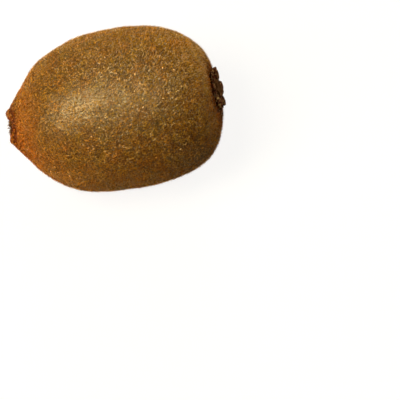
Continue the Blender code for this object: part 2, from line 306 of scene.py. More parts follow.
CRATER_EDGE = 1.05
BEAK_WARM_TURN = math.radians(165)
BEAK_WARM_START = 0.55
BEAK_WARM_GAIN = 0.6
BEAK_MARK_LENGTH = 9.0
SEAT_MARK_RADIUS = 11.5
SEAT_MARK_FADE = 4.5
RIM_MARK_START = 0.3
RIM_MARK_OFFSET = 1.7
RIM_MARK_WIDTH = 1.2


def warm_beak_side(turn):
    """How far a place is turned to the beak's warm side: a raised cosine of its turn, held from 0 to 1."""
    return np.clip(BEAK_WARM_START + BEAK_WARM_GAIN * np.cos(turn - BEAK_WARM_TURN), 0, 1)


near_crater = np.clip(CRATER_EDGE - skin_radius / RIM_RADIUS, 0, 1) * (skin_along < 0)
near_beak = bell(skin_along - KNOB_X, BEAK_MARK_LENGTH) * (0.4 + 0.6 * warm_beak_side(skin_turn))
near_seat = np.clip((SEAT_MARK_RADIUS - skin_radius) / SEAT_MARK_FADE, 0, 1) * (skin_along > 0)
facing = 0.4 + 0.6 * np.clip(RIM_MARK_START + np.cos(skin_turn - BEAK_FACE_TURN), 0, 1)
rim_distance = np.hypot(skin_along - KNOB_X, skin_radius - RIM_RADIUS)
near_rim = facing * bell(rim_distance - RIM_MARK_OFFSET, RIM_MARK_WIDTH)
skin_marks = {
    mark: np.concatenate([values[1:-1].ravel(), values[[0, -1]].mean(axis=1)])
    for mark, values in (("crater", near_crater), ("beak", near_beak), ("seat", near_seat), ("rim", near_rim))
}
skin_quads, skin_triangles = closed_grid(SKIN_ROWS - 2, SKIN_COLUMNS)
skin_piece = make_piece(
    "kiwi_skin",
    np.concatenate([skin_rings.reshape(-1, 3), skin_poles]),
    skin_quads,
    skin_triangles,
    closed_grid_uv(SKIN_ROWS - 2, SKIN_COLUMNS),
    skin_marks,
)


GLOSS_TINT = (1.0, 0.82, 0.46)
SHEEN_TINT = (1.0, 0.62, 0.2)
SHEEN_ROUGHNESS = 0.3


def start_finish(name, roughness, specular=0.5, sheen=0.0, sheen_tint=SHEEN_TINT):
    """A new material with its gloss tinted warm, its node tree, its shader, and the piece's own coordinates
    in millimetres."""
    material = bpy.data.materials.new(name)
    material.use_nodes = True
    tree = material.node_tree
    shader = tree.nodes["Principled BSDF"]
    shader.inputs["Roughness"].default_value = roughness
    shader.inputs["Specular IOR Level"].default_value = specular
    shader.inputs["Specular Tint"].default_value = (*GLOSS_TINT, 1.0)
    shader.inputs["Sheen Weight"].default_value = sheen
    shader.inputs["Sheen Roughness"].default_value = SHEEN_ROUGHNESS
    shader.inputs["Sheen Tint"].default_value = (*sheen_tint, 1.0)
    where = tree.nodes.new("ShaderNodeTexCoord")
    to_mm = tree.nodes.new("ShaderNodeVectorMath")
    to_mm.operation = "SCALE"
    to_mm.inputs["Scale"].default_value = 1 / MM
    tree.links.new(where.outputs["Object"], to_mm.inputs[0])
    return material, tree, shader, to_mm.outputs[0]


def patches(tree, place, size, detail=2.0, shift=0.0):
    """A random pattern from 0 to 1 whose patches are about one size in millimetres."""
    noise = tree.nodes.new("ShaderNodeTexNoise")
    noise.inputs["Scale"].default_value = 1 / size
    noise.inputs["Detail"].default_value = detail
    moved = tree.nodes.new("ShaderNodeVectorMath")
    moved.operation = "ADD"
    moved.inputs[1].default_value = (shift, shift, shift)
    tree.links.new(place, moved.inputs[0])
    tree.links.new(moved.outputs[0], noise.inputs["Vector"])
    return noise.outputs["Fac"]


def ranged(tree, value, low, high, least=0.0, most=1.0):
    """A value brought from one range into another, and held inside it."""
    node = tree.nodes.new("ShaderNodeMapRange")
    node.inputs["From Min"].default_value = low
    node.inputs["From Max"].default_value = high
    node.inputs["To Min"].default_value = least
    node.inputs["To Max"].default_value = most
    tree.links.new(value, node.inputs["Value"])
    return node.outputs["Result"]


def worked(tree, operation, first, second):
    """One sum on two values, each a node's output or a number."""
    node = tree.nodes.new("ShaderNodeMath")
    node.operation = operation
    for socket, value in zip(node.inputs, (first, second)):
        if isinstance(value, (int, float)):
            socket.default_value = value
        else:
            tree.links.new(value, socket)
    return node.outputs[0]


def tinted(tree, share, first, second):
    """The first colour with a share of the second laid over it. Each is a node's output or a plain colour."""
    node = tree.nodes.new("ShaderNodeMix")
    node.data_type = "RGBA"
    node.clamp_factor = True
    tree.links.new(share, node.inputs["Factor"])
    for socket, colour in ((node.inputs[6], first), (node.inputs[7], second)):
        if isinstance(colour, tuple):
            socket.default_value = (*colour, 1.0)
        else:
            tree.links.new(colour, socket)
    return node.outputs[2]


def spotted(tree, place, colour, spot, size, low, high, most=1.0, detail=2, shift=0):
    """A colour with spots of another, of about one size, where a random pattern climbs from low to high."""
    share = ranged(tree, patches(tree, place, size, detail, shift), low, high, 0, most)
    return tinted(tree, share, colour, spot)


def marked(tree, name):
    """The piece's own value of that name."""
    node = tree.nodes.new("ShaderNodeAttribute")
    node.attribute_name = name
    return node.outputs["Fac"]


def roughened(tree, shader, height, depth):
    """A bump of that depth in millimetres on the shader."""
    bump = tree.nodes.new("ShaderNodeBump")
    bump.inputs["Strength"].default_value = 1.0
    bump.inputs["Distance"].default_value = depth * MM
    tree.links.new(height, bump.inputs["Height"])
    tree.links.new(bump.outputs["Normal"], shader.inputs["Normal"])


BROWN = (0.14, 0.06, 0.006)
OLIVE = (0.12, 0.072, 0.009)
ORANGE = (0.22, 0.075, 0.004)
RUST = (0.15, 0.042, 0.003)
UMBER = (0.06, 0.024, 0.003)
CORK = (0.6, 0.27, 0.03)
PORE = (0.04, 0.018, 0.008)
BEAK_RED = (0.42, 0.10, 0.003)
RIM_RED = (0.10, 0.012, 0.0005)
CRATER_DRIED_AND_SHADE = (0.13, 0.015, 0.001)
SEAT_RED = (0.11, 0.024, 0.002)
SPECK_DARK = (0.05, 0.013, 0.001)

# colour of each layer of patches, their size, where the pattern starts and fills, their share and their shift
SKIN_PATCHES = (
    (OLIVE, 6.0, 0.45, 0.62, 0.8, 0),
    (ORANGE, 3.6, 0.48, 0.65, 0.7, 31),
    (RUST, 2.2, 0.52, 0.68, 0.6, 57),
    (UMBER, 1.1, 0.5, 0.68, 0.6, 83),
)
PORE_SHARE = 0.8
PORE_DEPTH = 0.7
SKIN_BUMP = 0.09
BEAK_SMOOTHER = -0.1

skin_finish, tree, shader, place = start_finish("kiwi_skin", roughness=0.38, specular=0.7)
colour = BROWN
for spot, size, low, high, most, shift in SKIN_PATCHES:
    colour = spotted(tree, place, colour, spot, size, low, high, most, shift=shift)
colour = tinted(tree, ranged(tree, marked(tree, "beak"), 0, 1, 0, 0.75), colour, BEAK_RED)
colour = tinted(tree, ranged(tree, marked(tree, "seat"), 0, 1, 0, 0.8), colour, SEAT_RED)
colour = spotted(tree, place, colour, SPECK_DARK, size=0.5, low=0.48, high=0.6, most=0.8, shift=61)
colour = spotted(tree, place, colour, CORK, size=0.42, low=0.55, high=0.65, most=0.75, detail=3, shift=11)
# Darker and redder in a frayed band round the outside of the beak's rim, most on the side its face turns to.
frayed_edge = ranged(tree, patches(tree, place, 0.8, 2, 43), 0.3, 0.7, -0.3, 0.3)
frayed_rim_band = worked(tree, "ADD", marked(tree, "rim"), frayed_edge)
colour = tinted(tree, ranged(tree, frayed_rim_band, 0.4, 0.7, 0, 0.95), colour, RIM_RED)
pores = ranged(tree, patches(tree, place, 0.5, 2, 7), 0.4, 0.28)
colour = tinted(tree, worked(tree, "MULTIPLY", pores, PORE_SHARE), colour, PORE)
# Painted shade: the crater's skin is darkened to deep red, its own dried colour with the shade of the hollow
# painted in.
colour = tinted(tree, ranged(tree, marked(tree, "crater"), 0.03, 0.3), colour, CRATER_DRIED_AND_SHADE)
tree.links.new(colour, shader.inputs["Base Color"])
sunk_pores = worked(tree, "MULTIPLY", pores, PORE_DEPTH)
roughened(tree, shader, worked(tree, "SUBTRACT", patches(tree, place, 0.45, 3), sunk_pores), SKIN_BUMP)
skin_roughness = ranged(tree, patches(tree, place, 1.4, shift=5), 0.3, 0.7, 0.3, 0.46)
smoother_beak = worked(tree, "MULTIPLY", marked(tree, "beak"), BEAK_SMOOTHER)
tree.links.new(worked(tree, "ADD", skin_roughness, smoother_beak), shader.inputs["Roughness"])
skin_piece.data.materials.append(skin_finish)
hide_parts("fruit")
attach(skin_piece, "root")


# The hairs are stiff, dry and golden brown, and grow out of the skin all over it. Most lie nearly flat,
# some lean off it, and a pale fuzz stands up. Each is a tapered blade of three triangles.
HAIR_LEAN = math.radians(14)
HAIR_LEAN_GAIN = math.radians(32)
HAIR_LEAN_TURN = math.radians(150)
HAIR_LEAN_START = 0.3
HAIR_LEAN_FROM = -4.0
HAIR_LEAN_LENGTH = 14.0
HAIR_WANDER = math.radians(9)
HAIR_LONGER = 0.2
HAIR_LONGER_LENGTH = 20
HAIR_ASIDE = 0.15
HAIR_ROLL = 0.42
HAIR_WAIST_SHARE = 0.8
HAIR_ROOT_DEPTH = 0.06
HAIR_LOWEST = 0.03
HAIR_TONES = 128
HAIR_BANDS = 8
TOP_SHARE = 0.999
CELL_EDGES = (0.1, 0.9)
BAND_PLACES = (0.06, 0.5, 0.94)
BARE_CRATER = 0.3
BARE_SEAT_RADIUS = 5.2
THINNED_LENGTH = 9

CROWN_RADIUS = 12.5
CROWN_FADE = 5
LIP_SHARE = 0.3
LIP_LENGTH = 1.8
RIM_BAND_START = 0.4
RIM_BAND_OFFSET = 1.3
RIM_BAND_WIDTH = 1.3
WARM_LEAST = 0.22
WARM_BEAK = 0.2
WARM_BEAK_LENGTH = 13
HOT_BEAK = 0.65
HOT_BEAK_LENGTH = 6.5
WARM_SIDE = 0.28
WARM_SIDE_TURN = math.radians(215)
WARM_END = 0.5
WARM_RIM_BAND = 0.25
WARM_LOOSE = 0.1
PALE_MIDDLE = 0.46
PALE_SPECKS = 0.33
PALE_LOOSE = 0.35
DARK_END = 0.3
DARK_RING = 0.7
DARK_RING_RADIUS = 9.5
DARK_RING_FADE = 1.2
DARK_RIM_BAND = 1.1


def hair_roots(count, draw, thinned):
    """Random places spread evenly by area over the skin's faces, with the skin's normal, the way to the
    stalk, and the fruit's own place along, radius and turn there. None is in the crater or under the sepals,
    and a thinned share of them is left out round both."""
    corner = skin[:-1]
    round_it = np.roll(skin, -1, axis=1)[:-1] - corner
    to_beak = skin[1:] - corner
    normal = np.cross(to_beak, round_it)
    area = np.linalg.norm(normal, axis=-1)
    under_sepals = (skin_radius[:-1] < BARE_SEAT_RADIUS) & (skin_along[:-1] > 0)
    bare = (near_crater[:-1] > BARE_CRATER) | under_sepals
    round_both = bell(skin_along[:-1] - KNOB_X, THINNED_LENGTH) + near_seat[:-1]
    kept = np.where(bare, 0.0, 1 - thinned * np.clip(round_both, 0, 1))
    reached = np.cumsum((area * kept).ravel())
    picked = np.searchsorted(reached, draw.uniform(0, reached[-1], count))
    row, column = np.unravel_index(picked, area.shape)
    over, down = draw.uniform(0, 1, (2, count, 1))
    root = corner[row, column] + over * round_it[row, column] + down * to_beak[row, column]
    normal = normal[row, column] / area[row, column][:, None]
    ahead = -to_beak[row, column]
    ahead -= normal * (ahead * normal).sum(axis=1)[:, None]
    ahead /= np.linalg.norm(ahead, axis=1)[:, None]
    return root, normal, ahead, skin_along[row, column], skin_radius[row, column], skin_turn[row, column]


def hair_tones(draw, root, along, radius, turn):
    """Warmth and paleness of each hair: bell curves of the place along for the beak and its lip, even fades
    of the radius for the crown and its dark ring, cosines of the turn, ripples, and a random share."""
    from_knob = along - KNOB_X
    crown = np.clip((CROWN_RADIUS - radius) / CROWN_FADE, 0, 1) * (along > 0)
    near_end = crown + LIP_SHARE * bell(from_knob, LIP_LENGTH)
    from_rim = np.hypot(from_knob, radius - RIM_RADIUS)
    # Hairs turn darker and warmer in a band just outside the beak's rim, most on the side its face turns to.
    rim_band_share = np.clip(RIM_BAND_START + np.cos(turn - BEAK_FACE_TURN), 0, 1)
    rim_band_share = rim_band_share * bell(from_rim - RIM_BAND_OFFSET, RIM_BAND_WIDTH)
    rim_band_share = rim_band_share * np.clip(0.75 + 0.7 * ripple(root, 1.2, 27), 0, 1.2)

    warm = WARM_LEAST + 0.1 * ripple(root, 6.5, 24) + WARM_BEAK * bell(from_knob, WARM_BEAK_LENGTH)
    warm = warm + HOT_BEAK * warm_beak_side(turn) * bell(from_knob, HOT_BEAK_LENGTH)
    warm = warm + WARM_SIDE * np.clip(np.cos(turn - WARM_SIDE_TURN) + 0.1, 0, 1)
    warm = warm + WARM_END * near_end
    warm = warm + WARM_RIM_BAND * rim_band_share

    spread = 1.08 + 0.4 * np.clip(-along / 20, 0, 1) + 0.6 * near_end
    pale = PALE_MIDDLE + 0.03 * ripple(root, 2.2, 23) + 0.05 * ripple(root, 4.5, 25)
    specks = PALE_SPECKS * ripple(root, 0.62, 26, 60)
    pale = pale + spread * (specks + draw.normal(0, PALE_LOOSE, len(root)))
    pale = pale - DARK_END * near_end
    ring_edge = DARK_RING_RADIUS + 0.7 * ripple(root, 1.6, 28)
    pale = pale - DARK_RING * np.clip((ring_edge - radius) / DARK_RING_FADE, 0, 1) * (along > 0)
    return warm, pale - DARK_RIM_BAND * rim_band_share


def make_hairs(name, count, length, width, lift, bend, loose, thinned, seed):
    """Hairs of a range of lengths, widths and lifts. A hair leaves its root at its lift, and its outer half
    keeps the bend's share of it. Hairs lean alike, apart from a loose share."""
    draw = np.random.default_rng(seed)
    root, normal, ahead, along, radius, turn = hair_roots(count, draw, thinned)
    turned = np.clip(HAIR_LEAN_START + np.cos(turn - HAIR_LEAN_TURN), 0, 1)
    turned = turned * np.clip((along - HAIR_LEAN_FROM) / HAIR_LEAN_LENGTH, 0, 1)
    lean = HAIR_LEAN + HAIR_LEAN_GAIN * turned + HAIR_WANDER * ripple(root, 18, 21)
    lean = lean + loose * draw.normal(0, 1, count)
    longer = HAIR_LONGER * np.clip((along - HAIR_LEAN_FROM) / HAIR_LONGER_LENGTH, 0, 1)
    warm, pale = hair_tones(draw, root, along, radius, turn)
    aside = np.cross(normal, ahead)
    flat = np.cos(lean)[:, None] * ahead + np.sin(lean)[:, None] * aside
    flank = np.cross(normal, flat)
    lengths = (draw.uniform(*length, count) * (1 + longer))[:, None]
    widths = draw.uniform(*width, count)[:, None]
    rise = draw.uniform(*lift, count)[:, None]
    middle = root + lengths / 2 * (np.cos(rise) * flat + np.sin(rise) * normal)
    outward = flat + draw.normal(0, HAIR_ASIDE, count)[:, None] * flank
    outward /= np.linalg.norm(outward, axis=1)[:, None]
    tip_rise = rise * draw.uniform(*bend, count)[:, None]
    tip = middle + lengths / 2 * (np.cos(tip_rise) * outward + np.sin(tip_rise) * normal)
    roll = draw.normal(0, HAIR_ROLL, count)[:, None]
    broad = (np.cos(roll) * flank + np.sin(roll) * normal) * widths / 2
    narrower = broad * HAIR_WAIST_SHARE
    root = root - normal * HAIR_ROOT_DEPTH
    points = np.stack([root - broad, root + broad, middle + narrower, middle - narrower, tip], axis=1)
    points[..., 2] = np.maximum(points[..., 2], HAIR_LOWEST)

    band = np.floor(np.clip(warm + draw.normal(0, WARM_LOOSE, count), 0, TOP_SHARE) * HAIR_BANDS)
    tone = np.floor(np.clip(pale, 0, TOP_SHARE) * HAIR_TONES)
    left, right = ((tone + share) / HAIR_TONES for share in CELL_EDGES)
    foot, waist, top = ((band + share) / HAIR_BANDS for share in BAND_PLACES)
    blade = np.stack([right, foot, left, foot, left, waist, right, waist], axis=-1)
    point = np.stack([right, waist, left, waist, (left + right) / 2, top], axis=-1)
    first = np.arange(count)[:, None] * points.shape[1]
    return make_piece(
        name,
        points.reshape(-1, 3),
        first + np.array([1, 0, 3, 2]),
        first + np.array([2, 3, 4]),
        np.concatenate([blade.reshape(-1, 2), point.reshape(-1, 2)]),
    )


HAIR_ROUGHNESS = 0.2


def hair_finish(name, specular, sheen, sheen_tint, dark, pale, foot):
    """Hair coloured by its place on the flat map: tone across it, warmth by band, and foot to tip up a band.
    dark and pale each hold the colour of the least and of the warmest band."""
    finish, tree, shader, place = start_finish(name, HAIR_ROUGHNESS, specular, sheen, sheen_tint)
    flat_map = tree.nodes.new("ShaderNodeUVMap")
    flat_map.uv_map = "OFBake"
    parts = tree.nodes.new("ShaderNodeSeparateXYZ")
    tree.links.new(flat_map.outputs["UV"], parts.inputs[0])
    stretched = worked(tree, "MULTIPLY", parts.outputs["Y"], HAIR_BANDS)
    warmth = ranged(tree, worked(tree, "FLOOR", stretched, 0), 0, HAIR_BANDS - 1)
    height = worked(tree, "FRACT", stretched, 0)
    tone = ranged(tree, parts.outputs["X"], 0.1, 0.95)
    colour = tinted(tree, tone, tinted(tree, warmth, *dark), tinted(tree, warmth, *pale))
    colour = tinted(tree, ranged(tree, height, 0.0, 0.6, 0.6, 0.0), colour, foot)
    tree.links.new(colour, shader.inputs["Base Color"])
    return finish


coarse_hair = hair_finish(
    "kiwi_hair",
    specular=0.6,
    sheen=0.25,
    sheen_tint=SHEEN_TINT,
    dark=((0.085, 0.029, 0.001), (0.10, 0.013, 0.0003)),
    pale=((0.82, 0.41, 0.035), (0.92, 0.24, 0.007)),
    foot=(0.075, 0.026, 0.002),
)
pale_fuzz = hair_finish(
    "kiwi_fuzz",
    specular=0.1,
    sheen=1.0,
    sheen_tint=(1.0, 0.85, 0.6),
    dark=((0.34, 0.2, 0.07), (0.34, 0.14, 0.02)),
    pale=((0.92, 0.72, 0.42), (0.92, 0.55, 0.2)),
    foot=(0.2, 0.1, 0.02),
)

FLAT = (math.radians(5), math.radians(24))
HALF_RAISED = (math.radians(15), math.radians(45))
RAISED = (math.radians(60), math.radians(88))
BENT = (-0.1, 0.8)
STRAIGHT = (0.7, 1.1)
# name, count, lengths, widths, lift, bend, loose share, thinned share and seed of each kind, then its finish
HAIR_KINDS = (
    (("fuzz_fine", 66000, (0.35, 0.75), (0.052, 0.075), RAISED, STRAIGHT, 0.5, 0.9, 101), pale_fuzz),
    (("hairs_short", 36000, (0.3, 0.6), (0.11, 0.17), HALF_RAISED, BENT, 0.4, 0.0, 105), coarse_hair),
    (("hairs_lying_near", 32000, (0.4, 0.75), (0.18, 0.26), FLAT, BENT, 0.3, 0.0, 102), coarse_hair),
    (("hairs_lying_far", 32000, (0.4, 0.75), (0.18, 0.26), FLAT, BENT, 0.3, 0.0, 103), coarse_hair),
    (("hairs_standing", 18000, (0.7, 1.3), (0.08, 0.12), HALF_RAISED, BENT, 0.4, 0.3, 104), coarse_hair),
)
for kind, finish in HAIR_KINDS:
    hairs = make_hairs(*kind)
    hairs.data.materials.append(finish)
    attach(hairs, "root")


# The stalk's scar is a squat corky stub in the seat, as broken off when the fruit was picked: a woody rim
# with fibres round a hollow. It grows out of the skin.
STUB_GAP = 0.3
STUB_RADIUS = 2.6
STUB_HEIGHT = 1.7
STUB_HOLLOW = 0.45
STUB_TOP_SHARE = 0.6
STUB_FLARE = 0.12
STUB_SUNK = 0.3
STUB_SKIRT = 0.6
STUB_COLUMNS = 96
STUB_ROWS = 36


def make_stub():
    """A turned profile from the hollow's middle over the rim and down into the seat, with cosine fibres."""
    turn = np.linspace(0, 2 * math.pi, STUB_COLUMNS, endpoint=False)[None, :]
    step = np.linspace(0, 1, STUB_ROWS)[:, None]
    out = np.clip(step / STUB_TOP_SHARE, 0, 1)
    down = np.clip((step - STUB_TOP_SHARE) / (1 - STUB_TOP_SHARE), 0, 1)
    radius = STUB_FLARE + (STUB_RADIUS - STUB_FLARE) * out**0.9 + STUB_FLARE * down
    top = stalk_face(0.0) + STUB_GAP + STUB_HEIGHT
    hollow = STUB_HOLLOW * (1 - out**3) - 0.22 * np.clip(out - 0.85, 0, 1) ** 2 / 0.0225
    along = top - hollow - (STUB_HEIGHT + STUB_SKIRT) * down**1.4
    fibres = 0.09 * np.cos(37 * turn + 2.5 * np.sin(3 * turn))
    fibres = fibres + 0.07 * np.cos(23 * turn + 1.7 * np.sin(2 * turn))
    highlit_ridges = 0.05 * np.cos(9 * out * math.pi) * (1 - down)
    frayed = 0.14 * np.sin(5 * turn + 0.7) + 0.1 * np.sin(8 * turn) + 0.08 * np.sin(13 * turn + 2)
    along = along + (fibres * out + highlit_ridges + frayed * out**2) * (1 - down)
    radius = radius + fibres * 0.6 * out
    ends = np.array([top - STUB_HOLLOW, stalk_face(0.0) - STUB_SUNK])
    rings = laid_down(along, radius, turn + 0 * along)
    poles = laid_down(ends, np.zeros(2), np.zeros(2))
    marks = {"fibre": np.concatenate([(fibres / 0.16 + 0 * along).ravel(), [0.0, 0.0]])}
    return make_piece(
        "stalk_scar",
        np.concatenate([rings.reshape(-1, 3), poles]) + lowered,
        *closed_grid(STUB_ROWS, STUB_COLUMNS),
        closed_grid_uv(STUB_ROWS, STUB_COLUMNS),
        marks,
    )


STUB_DARK = (0.025, 0.007, 0.002)
STUB_BROWN = (0.085, 0.03, 0.009)
STUB_FIBRE = (0.15, 0.075, 0.027)
STUB_PIT = (0.02, 0.01, 0.006)

stub_piece = make_stub()
stub_finish, tree, shader, place = start_finish("stalk_cork", roughness=0.85, specular=0.08)
colour = tinted(tree, patches(tree, place, 0.6, 3), STUB_DARK, STUB_BROWN)
colour = tinted(tree, ranged(tree, marked(tree, "fibre"), -1, 1, 0, 0.6), colour, STUB_FIBRE)
colour = spotted(tree, place, colour, STUB_PIT, size=0.25, low=0.55, high=0.7, most=0.7, shift=9)
tree.links.new(colour, shader.inputs["Base Color"])
roughened(tree, shader, patches(tree, place, 0.2, 4), 0.12)
stub_piece.data.materials.append(stub_finish)
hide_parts("stalk_stub")
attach(stub_piece, "root")


# The sepals are six dried lobes that stay round the stub, thick, crumpled and nearly black, with a painted
# highlight on their crests.
# They have grown together at a collar, hug the skin there and curl off it at their tips.
SEPAL_COUNT = 6
COLLAR_INNER = 3.05
COLLAR_OUTER = 4.5
COLLAR_THICKNESS = 1.1
COLLAR_NOTCH = 0.4
COLLAR_LIFT = 0.3
SEPAL_START = math.radians(24)
SEPAL_REACH = (6.5, 7.3)
SEPAL_SWELL = (0.35, 0.75)
SEPAL_CURL = 0.35
SEPAL_TWIST = 0.5
SEPAL_THICKNESS = 0.65
SEPAL_THINNEST = 0.15
SEPAL_SUNK = 0.15
SEPAL_GROOVE = 0.5
SEPAL_GROOVE_WIDTH = 0.12
SEPAL_TIP_SHARE = 0.35
SEPAL_EDGE_RADIUS = 7
SEPAL_CRUMPLE = 0.2
SEPAL_TIP_POWER = 2.2
SEPAL_TIP_ROUND = 0.6
SEPAL_SEED = 11
SEPAL_COLUMNS = 480
SEPAL_STEPS = 34


def make_sepals():
    """One closed band: over the lobes' tops, round their tips, back underneath. A lobe's reach is a power
    curve of the place across it, and ripples crumple its top and fray its edge."""
    draw = np.random.default_rng(SEPAL_SEED)
    tips = draw.uniform(*SEPAL_REACH, SEPAL_COUNT)
    swells = draw.uniform(*SEPAL_SWELL, SEPAL_COUNT)
    lobe = np.linspace(0, SEPAL_COUNT, SEPAL_COLUMNS, endpoint=False)
    turn = SEPAL_START + 2 * math.pi * lobe / SEPAL_COUNT
    which = lobe.astype(int)
    beside = lobe - which
    across = np.abs(2 * np.clip(beside, 0.01, 0.99) - 1)
    breadth = (1 - across**SEPAL_TIP_POWER) ** SEPAL_TIP_ROUND
    edge = np.stack([SEPAL_EDGE_RADIUS * np.cos(turn), SEPAL_EDGE_RADIUS * np.sin(turn), 0 * turn], axis=-1)
    ragged = 0.22 * ripple(edge, 1.6, 41) + 0.1 * ripple(edge, 0.7, 42)
    reach = COLLAR_OUTER - COLLAR_NOTCH + (tips[which] - COLLAR_OUTER + COLLAR_NOTCH) * breadth
    reach = reach + ragged * breadth
    step = np.linspace(0, 1, SEPAL_STEPS)[:, None]
    eased = np.sin(math.pi / 2 * step)
    radius = COLLAR_INNER + (reach - COLLAR_INNER) * eased
    spot = np.stack([radius * np.cos(turn), radius * np.sin(turn), 0 * radius], axis=-1)
    crumple = SEPAL_CRUMPLE * (0.7 - np.abs(ripple(spot, 2.3, 43)))
    crumple = crumple + 0.1 * (0.6 - np.abs(ripple(spot, 1.0, 44)))
    underside = stalk_face(radius) - SEPAL_SUNK + (STUB_GAP + SEPAL_CURL) * breadth * eased**3
    thickness = COLLAR_THICKNESS + SEPAL_SUNK + (SEPAL_THICKNESS - COLLAR_THICKNESS) * eased
    swell = swells[which] * breadth * np.sin(math.pi * eased) ** 0.8
    twist = SEPAL_TWIST * (beside - 0.5) * breadth * np.sin(math.pi * eased / 2)
    groove = -SEPAL_GROOVE * bell(across - 1, SEPAL_GROOVE_WIDTH) * np.clip(eased * 2, 0, 1)
    topside = underside + COLLAR_LIFT * (1 - eased) + thickness + swell + twist + crumple + groove
    topside = np.maximum(topside, underside + SEPAL_THINNEST)
    topside[-1] = topside[-1] - SEPAL_TIP_SHARE * (topside[-1] - underside[-1])
    along = np.concatenate([topside, underside[::-1]])
    around = np.concatenate([radius, radius[::-1]])
    band = laid_down(along, around, np.repeat(turn[None, :], 2 * SEPAL_STEPS, axis=0)) + lowered
    height = np.concatenate([crumple / SEPAL_CRUMPLE, crumple[::-1] * 0 - 1])
    quads, triangles = closed_grid(2 * SEPAL_STEPS, SEPAL_COLUMNS, poles=False)
    return make_piece("dried_sepals", band.reshape(-1, 3), quads, triangles, None, {"height": height})


SEPAL_BLACK = (0.004, 0.001, 0.0005)
SEPAL_MAROON = (0.075, 0.014, 0.004)
SEPAL_TAN_HIGHLIGHT = (0.36, 0.22, 0.075)
SEPAL_FLECK = (0.5, 0.31, 0.13)

sepal_piece = make_sepals()
sepal_finish, tree, shader, place = start_finish("dried_sepal", roughness=0.6, specular=0.05)
colour = spotted(tree, place, SEPAL_BLACK, SEPAL_MAROON, size=0.8, low=0.4, high=0.6, detail=3)
# Painted highlight: tan laid in patches on the high crests of the crumples, where light catches them.
high_ridges = ranged(tree, marked(tree, "height"), 0.2, 0.7)
tan_parts = ranged(tree, patches(tree, place, 2.0, 2, 59), 0.46, 0.56)
highlit_ridges = worked(tree, "MULTIPLY", high_ridges, tan_parts)
colour = tinted(tree, ranged(tree, highlit_ridges, 0.1, 0.6, 0, 0.95), colour, SEPAL_TAN_HIGHLIGHT)
flecks = ranged(tree, patches(tree, place, 0.35, 3, 23), 0.58, 0.66, 0, 0.85)
colour = tinted(tree, flecks, colour, SEPAL_FLECK)
tree.links.new(colour, shader.inputs["Base Color"])
roughened(tree, shader, patches(tree, place, 0.3, 4, 3), 0.2)
sepal_piece.data.materials.append(sepal_finish)
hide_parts("sepals")
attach(sepal_piece, "root")


# The styles are what is left of the flower at the beak: a small button in the crater with a tuft of withered,
# wavy brown bristles grown out of it.
BUTTON_RADIUS = 1.9
BUTTON_HEIGHT = 0.75
BUTTON_SUNK = 0.35
BUTTON_ROWS = 14
BUTTON_COLUMNS = 48
STYLE_COUNT = 60
STYLE_LENGTH = (1.0, 2.0)
STYLE_RING = 1.5
STYLE_STEP = 0.382
STYLE_SPLAY = 12
STYLE_SPLAY_GAIN = 34
STYLE_THICKNESS = (0.1, 0.2)
STYLE_WAVE_HEIGHT = 0.16
STYLE_SUNK = 0.2
STYLE_SIDES = 6
STYLE_RINGS = 9
STYLE_SEED = 4


def make_styles():
    """A ring-shaped button with wavy relief, and bristles: circles along a path that leans out from the axis
    and waves by sines, each thinner than the last."""
    turn = np.linspace(0, 2 * math.pi, BUTTON_COLUMNS, endpoint=False)[None, :]
    step = np.linspace(0, 1, BUTTON_ROWS)[:, None]
    tucked = 1 - 0.35 * np.clip(step - 0.6, 0, 1)
    radius = BUTTON_RADIUS * np.sin(math.pi / 2 * np.clip(step / 0.55, 0.04, 1)) * tucked
    proud = BUTTON_HEIGHT * (1 - np.clip((step - 0.35) / 0.65, 0, 1))
    proud = proud + 0.08 * np.cos(11 * turn) * np.sin(math.pi * step)
    button = laid_down(crater_face(radius) + BUTTON_SUNK - proud, radius + 0 * turn, turn + 0 * radius)[::-1]
    ends = np.array([crater_face(0.0) + 0.4, crater_face(0.0) - BUTTON_HEIGHT + 0.3])
    button_poles = laid_down(ends, np.zeros(2), np.zeros(2))
    quads, triangles = closed_grid(BUTTON_ROWS, BUTTON_COLUMNS)
    points = [button.reshape(-1, 3), button_poles]
    all_quads, all_triangles = [quads], [triangles]
    base = BUTTON_ROWS * BUTTON_COLUMNS + 2
    height = [np.zeros(base)]

    draw = np.random.default_rng(STYLE_SEED)
    side = np.linspace(0, 2 * math.pi, STYLE_SIDES, endpoint=False)[None, :]
    climb = np.linspace(0, 1, STYLE_RINGS)[:, None]
    quads, triangles = closed_grid(STYLE_RINGS, STYLE_SIDES)
    for number in range(STYLE_COUNT):
        root_turn = 2 * math.pi * (number * STYLE_STEP + draw.uniform(-0.03, 0.03))
        root_ring = STYLE_RING * math.sqrt((number + 0.5) / STYLE_COUNT)
        splay = math.radians(STYLE_SPLAY + STYLE_SPLAY_GAIN * root_ring / STYLE_RING) * draw.uniform(0.6, 1.3)
        length = draw.uniform(*STYLE_LENGTH)
        thick = draw.uniform(*STYLE_THICKNESS) * (1.1 - climb**2 * 0.8)
        wave = STYLE_WAVE_HEIGHT * np.sin(climb * draw.uniform(4, 9) + draw.uniform(0, 6))
        out = root_ring + length * climb * math.sin(splay)
        across = out * math.cos(root_turn) - wave * math.sin(root_turn) + thick * np.cos(side)
        up = out * math.sin(root_turn) + wave * math.cos(root_turn) + thick * np.sin(side)
        along = crater_face(0.0) - STYLE_SUNK - length * climb * math.cos(splay) + 0 * side
        rings = laid_down(along, np.hypot(across, up), np.arctan2(up, across))
        points += [rings.reshape(-1, 3), rings[[0, -1]].mean(axis=1)]
        all_quads.append(quads + base)
        all_triangles.append(triangles + base)
        height.append(np.concatenate([(climb + 0 * side).ravel(), [0.0, 1.0]]))
        base += STYLE_RINGS * STYLE_SIDES + 2
    return make_piece(
        "withered_styles",
        np.concatenate(points) + lowered,
        np.concatenate(all_quads),
        np.concatenate(all_triangles),
        None,
        {"height": np.concatenate(height)},
    )


STYLE_DARK = (0.04, 0.009, 0.001)
STYLE_BROWN = (0.13, 0.04, 0.005)
STYLE_TIP = (0.24, 0.11, 0.02)

